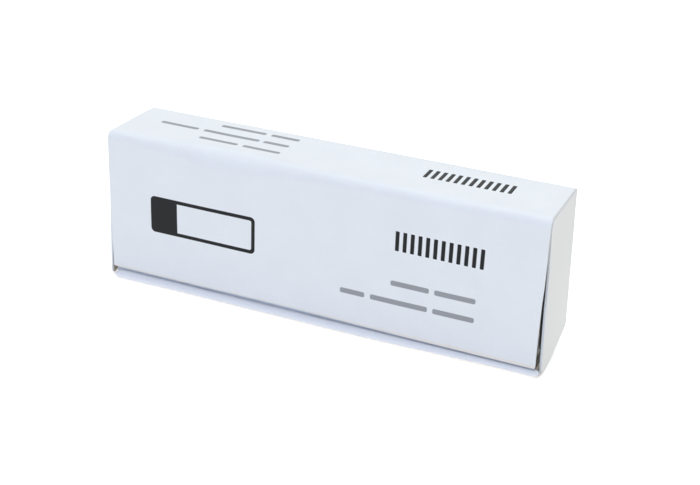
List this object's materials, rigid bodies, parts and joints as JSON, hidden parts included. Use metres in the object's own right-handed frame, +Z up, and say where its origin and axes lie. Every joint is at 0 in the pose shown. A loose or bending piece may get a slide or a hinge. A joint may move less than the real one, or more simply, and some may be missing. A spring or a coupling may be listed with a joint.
{
  "type": "microscope slide carton",
  "caption": "White folding-card carton with a hinged lid and its flaps, holding a stack of glass microscope slides on edge.",
  "frame": {"origin": "centre of the bottom of the whole object's box, on the ground under the carton", "axes": "+X along the slides' length, +Z up, and the front flap faces -Y"},
  "size_m": [0.0786, 0.0158, 0.0269],
  "materials": {
    "card": "white coated folding card, satin outside, cut edges slightly warm",
    "glass": "clear soda-lime glass with polished edges, faintly green"
  },
  "bodies": {
    "base": {"carton_base": "card", "slide_01": "glass", "slide_02": "glass", "slide_03": "glass", "slide_04": "glass", "slide_05": "glass", "slide_06": "glass", "slide_07": "glass", "slide_08": "glass", "slide_09": "glass", "slide_10": "glass", "slide_11": "glass", "slide_12": "glass"},
    "lid": {"lid_panel": "card"},
    "front": {"front_flap": "card"},
    "left_end": {"left_end_flap": "card"},
    "right_end": {"right_end_flap": "card"}
  },
  "joints": [
    {"name": "lid_hinge", "type": "hinge", "parent": "base", "child": "lid", "pos_m": [0, 0.00765, 0.02669], "axis": [-1, 0, 0], "range_deg": [0, 180]},
    {"name": "front_flap_hinge", "type": "hinge", "parent": "lid", "child": "front", "pos_m": [0, -0.00654, 0.02648], "axis": [-1, 0, 0], "range_deg": [0, 120]},
    {"name": "right_end_hinge", "type": "hinge", "parent": "lid", "child": "right_end", "pos_m": [0.0382, 0, 0.02676], "axis": [0, -1, 0], "range_deg": [-2, 120]},
    {"name": "left_end_hinge", "type": "hinge", "parent": "lid", "child": "left_end", "pos_m": [-0.03852, 0, 0.02676], "axis": [0, 1, 0], "range_deg": [-1.3, 120]}
  ]
}
